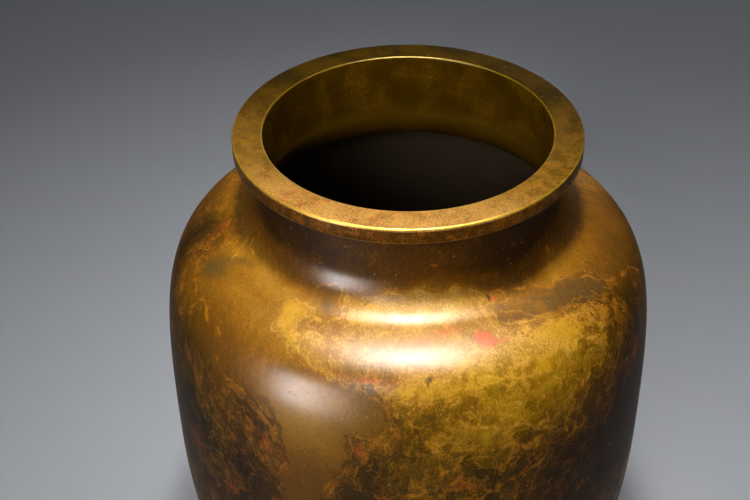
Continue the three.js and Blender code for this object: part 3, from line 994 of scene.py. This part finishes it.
def mouth_rim():
    """The flat flanged rim, with the groove for the neck's tongue in its underside."""
    groove = tongue(TONGUE_THICKNESS / 2 + JOINT_GAP, RIM_UNDERSIDE + TONGUE_HEIGHT + JOINT_GAP)
    top_centre = HEIGHT - RIM_TOP_ROUNDING
    inner = BORE_RADIUS + RIM_TOP_ROUNDING
    outer = MOUTH_RADIUS - RIM_TOP_ROUNDING
    lower = (MOUTH_RADIUS - RIM_LOWER_ROUNDING, RIM_UNDERSIDE + RIM_LOWER_ROUNDING)
    faces = (
        (straight((BORE_RADIUS, RIM_UNDERSIDE), (BORE_RADIUS, top_centre), steps=3), INSIDE),
        (arc((inner, top_centre), RIM_TOP_ROUNDING, 180, 90), OUTSIDE),
        (straight((inner, HEIGHT), (outer, HEIGHT)), OUTSIDE),
        (arc((outer, top_centre), RIM_TOP_ROUNDING, 90, 0), OUTSIDE),
        (arc(lower, RIM_LOWER_ROUNDING, 0, -90), OUTSIDE),
        (groove[::-1], HIDDEN),
    )
    piece = turned("mouth_rim_finish", faces, rim_metals)
    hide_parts("mouth_rim")


def neck_collar():
    """The straight neck, with its tongue above and its lip below."""
    top = [(BORE_RADIUS, RIM_UNDERSIDE)] + tongue(TONGUE_THICKNESS / 2, RIM_UNDERSIDE + TONGUE_HEIGHT)
    faces = (
        (straight((BORE_RADIUS, neck_joint.ledge), (BORE_RADIUS, RIM_UNDERSIDE)), INSIDE),
        (top, HIDDEN),
        (straight((NECK_RADIUS, RIM_UNDERSIDE), (NECK_RADIUS, NECK_SEAM)), OUTSIDE),
        (neck_joint.lip(), HIDDEN),
    )
    piece = turned("neck_collar_finish", faces, body_metals)
    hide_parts("neck_collar")


def body_half(node, curve, joint_above, joint_below):
    """A half of the body, from its spigot down to the lip over the next spigot."""
    inside = part_above(moved_inward(curve, WALL), joint_below.ledge)
    faces = (
        (inside[::-1], INSIDE),
        (joint_above.spigot(), HIDDEN),
        (curve, OUTSIDE),
        (joint_below.lip(), HIDDEN),
    )
    piece = turned(node + "_finish", faces, body_metals)
    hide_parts(node)


def foot_ring():
    """The band that stands on the ground, with a ledge for the base plate and the body's spigot."""
    contact_inner = FOOT_RADIUS - FOOT_CONTACT_WIDTH
    ledge_inner = foot_joint.inner_radius - JOINT_GAP - LEDGE_WIDTH
    ledge_bottom = PLATE_BOTTOM - LEDGE_THICKNESS
    centre = FOOT_RADIUS - FOOT_ROUNDING
    spigot = foot_joint.spigot()
    underside = [
        (contact_inner + FOOT_ROUNDING, 0.0),
        (contact_inner, FOOT_ROUNDING),
        (contact_inner, ledge_bottom),
        (ledge_inner, ledge_bottom),
        (ledge_inner, PLATE_BOTTOM),
        (foot_joint.inner_radius, PLATE_BOTTOM),
    ]
    faces = (
        (underside, HIDDEN),
        (spigot[:1], INSIDE),
        (spigot[1:], OUTSIDE),
        (arc((centre, FOOT_HEIGHT - FOOT_ROUNDING), FOOT_ROUNDING, 90, 0), OUTSIDE),
        (arc((centre, FOOT_ROUNDING), FOOT_ROUNDING, 0, -90), OUTSIDE),
    )
    piece = turned("foot_ring_finish", faces, body_metals)
    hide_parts("foot_ring")


def base_plate():
    """The floor of the vase, with a step round its upper edge for its brazing ring."""
    step_radius = PLATE_BRAZE_INNER - JOINT_GAP
    step_height = PLATE_TOP - BRAZE_HEIGHT
    outline = [
        (0, PLATE_TOP),
        (step_radius, PLATE_TOP),
        (step_radius, step_height),
        (PLATE_RADIUS, step_height),
        (PLATE_RADIUS, PLATE_BOTTOM + PLATE_CHAMFER),
        (PLATE_RADIUS - PLATE_CHAMFER, PLATE_BOTTOM),
        (0, PLATE_BOTTOM),
    ]
    piece = turned("base_plate_finish", [(outline, OUTSIDE)], (bare_metal,))
    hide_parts("base_plate")


def rim_braze():
    """The concave fillet of filler metal between the neck and the flange of the rim."""
    inner = NECK_RADIUS + JOINT_GAP
    corner = (inner + FILLET_LEG, RIM_UNDERSIDE - FILLET_LEG)
    outline = [(inner, RIM_UNDERSIDE)] + arc(corner, FILLET_LEG, 90, 180, 2 * ROUNDING_STEPS)
    piece = turned("rim_braze_finish", [(outline, OUTSIDE)], (filler_metal,))
    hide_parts("rim_braze")


def brazing_ring(node, inner_radius, outer_radius, bottom):
    """A ring of filler metal that lies in a seam, dressed flush inside and patinated over."""
    top = bottom + BRAZE_HEIGHT
    faces = (
        ([(inner_radius, bottom), (inner_radius, top)], INSIDE),
        ([(inner_radius, top), (outer_radius, top), (outer_radius, bottom)], OUTSIDE),
    )
    piece = turned(node + "_finish", faces, (filler_metal, inner_metal))
    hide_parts(node)


def spigot_braze(node, joint):
    """The ring on top of a joint's spigot."""
    brazing_ring(node, joint.inner_radius, joint.spigot_radius, joint.spigot_top)


mouth_rim()
rim_braze()
neck_collar()
spigot_braze("neck_braze", neck_joint)
body_half("upper_body", cove() + shoulder()[1:], neck_joint, girth_joint)
spigot_braze("girth_braze", girth_joint)
body_half("lower_body", lower_curve(), girth_joint, foot_joint)
spigot_braze("foot_braze", foot_joint)
foot_ring()
base_plate()
brazing_ring("floor_braze", PLATE_BRAZE_INNER, PLATE_RADIUS, PLATE_TOP - BRAZE_HEIGHT)

# The camera stands where the photograph was taken from
IMAGE_WIDTH = 750
AXIS_PIXEL_X = 408.1
FOCAL_PIXELS = 1239.08
SENSOR_WIDTH = 36.0
CAMERA_PLACE = (0, -0.42348, 0.53766)
CAMERA_DOWN = 37.021
CAMERA_NEAR = 0.01
LIT_POINT = Vector((0, 0, 0.2))
COOL_LIGHT = (0.82, 0.91, 1.0)
BEAM_SPREAD = math.radians(60)
FLOOR_HALF = 6.0
SURROUND_STRENGTH = 0.08


def camera():
    data = bpy.data.cameras.new("camera")
    data.sensor_width = SENSOR_WIDTH
    data.lens = FOCAL_PIXELS * SENSOR_WIDTH / IMAGE_WIDTH
    data.shift_x = (IMAGE_WIDTH / 2 - AXIS_PIXEL_X) / IMAGE_WIDTH
    data.clip_start = CAMERA_NEAR
    view = shown("camera", data)
    view.location = CAMERA_PLACE
    view.rotation_euler = (math.radians(90 - CAMERA_DOWN), 0, 0)
    bpy.context.scene.camera = view


def softbox(name, azimuth, elevation, distance, size, watts, card=False, fill=False):
    """An area lamp placed round the vase and turned towards it. A card shows only in the gloss,
    and a fill doesn't show in it."""
    turn, lift = math.radians(azimuth), math.radians(elevation)
    out = Vector((math.sin(turn) * math.cos(lift), -math.cos(turn) * math.cos(lift), math.sin(lift)))
    data = bpy.data.lights.new(name, "AREA")
    data.shape = "RECTANGLE"
    data.size, data.size_y = size
    data.energy = watts
    if card:
        data.color = COOL_LIGHT
    else:
        data.spread = BEAM_SPREAD
    lamp = shown(name, data)
    lamp.location = LIT_POINT + out * distance
    lamp.rotation_euler = out.to_track_quat("Z", "Y").to_euler()
    lamp.visible_diffuse = not card
    lamp.visible_glossy = not fill


def pale_floor():
    mesh = bpy.data.meshes.new("floor")
    corners = [(x * FLOOR_HALF, y * FLOOR_HALF, 0) for x, y in ((-1, -1), (1, -1), (1, 1), (-1, 1))]
    mesh.from_pydata(corners, [], [(0, 1, 2, 3)])
    shader = Shader("pale_floor")
    shader.set(Specular_IOR_Level=0.0)
    mesh.materials.append(shader.finish(colour(*PAINT["floor"]), roughness=0.7, metallic=0.0))
    floor = shown("floor", mesh)


def studio_world():
    """A faint even light from all sides, which the gloss shows as a dark room round the lamps."""
    world = bpy.data.worlds.new("studio")
    bpy.context.scene.world = world
    world.use_nodes = True
    background = world.node_tree.nodes["Background"]
    background.inputs["Color"].default_value = colour(*PAINT["surround"])
    background.inputs["Strength"].default_value = SURROUND_STRENGTH


camera()
softbox("overhead_softbox", azimuth=0, elevation=77.5, distance=0.7, size=(0.08, 0.045), watts=0.43)
softbox("overhead_card", 0, 77.5, 0.71, size=(0.36, 0.31), watts=17.0, card=True)
softbox("overhead_glow", 0, 77.5, 0.73, size=(0.66, 0.46), watts=10.0, card=True)
softbox("front_softbox", -18, 32, 1.1, size=(0.4, 0.3), watts=0.56)
for side in (-1, 1):
    softbox("back_softbox_%d" % (side + 1), 140 * side, 14, 1.3, size=(0.8, 0.5), watts=0.42, fill=True)
softbox("back_card", 168, 2, 1.2, size=(0.25, 0.3), watts=2.4, card=True)
# The tall highlight at the left of the body fades out towards the front
for panel, (azimuth, watts) in enumerate(((-49, 5.4), (-41, 5.4), (-33, 2.2), (-25, 0.8))):
    softbox("side_card_%d" % panel, azimuth, 4, 0.75, size=(0.1, 0.4), watts=watts, card=True)
pale_floor()
studio_world()
bpy.context.scene.view_settings.view_transform = "Standard"
